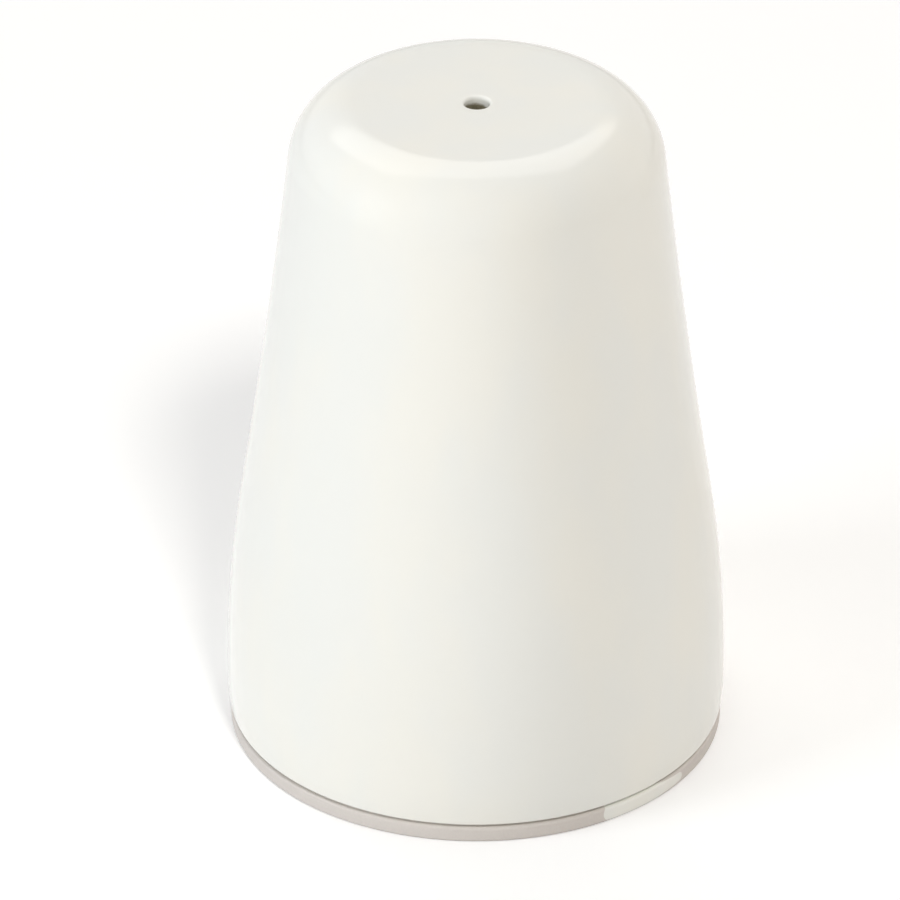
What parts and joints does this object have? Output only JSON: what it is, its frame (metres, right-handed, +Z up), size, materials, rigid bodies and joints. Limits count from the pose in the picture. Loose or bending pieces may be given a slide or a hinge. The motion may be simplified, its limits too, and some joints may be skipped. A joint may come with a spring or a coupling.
{
  "type": "pepper shaker",
  "caption": "Tapered round porcelain pepper shaker with a rounded shoulder, a flat top with a small central shake hole, and a pull-out soft stopper in its recessed base.",
  "frame": {"origin": "centre of the foot ring, on the table", "axes": "+Z up along the axis of the turned shape, front towards -Y; the shape looks alike from every side"},
  "size_m": [0.056, 0.056, 0.0776],
  "materials": {
    "white_glaze": "glossy warm-white glaze over porcelain, wiped down to bare biscuit on most of the foot ring",
    "soft_stopper": "satin milky translucent silicone, moulded in one piece"
  },
  "bodies": {
    "shaker": {"porcelain_body": "white_glaze"},
    "stopper": {"base_stopper": "soft_stopper"}
  },
  "joints": [
    {"name": "stopper_pull", "type": "slide", "parent": "shaker", "child": "stopper", "axis": [0, 0, -1], "range_m": [0, 0.03]}
  ]
}
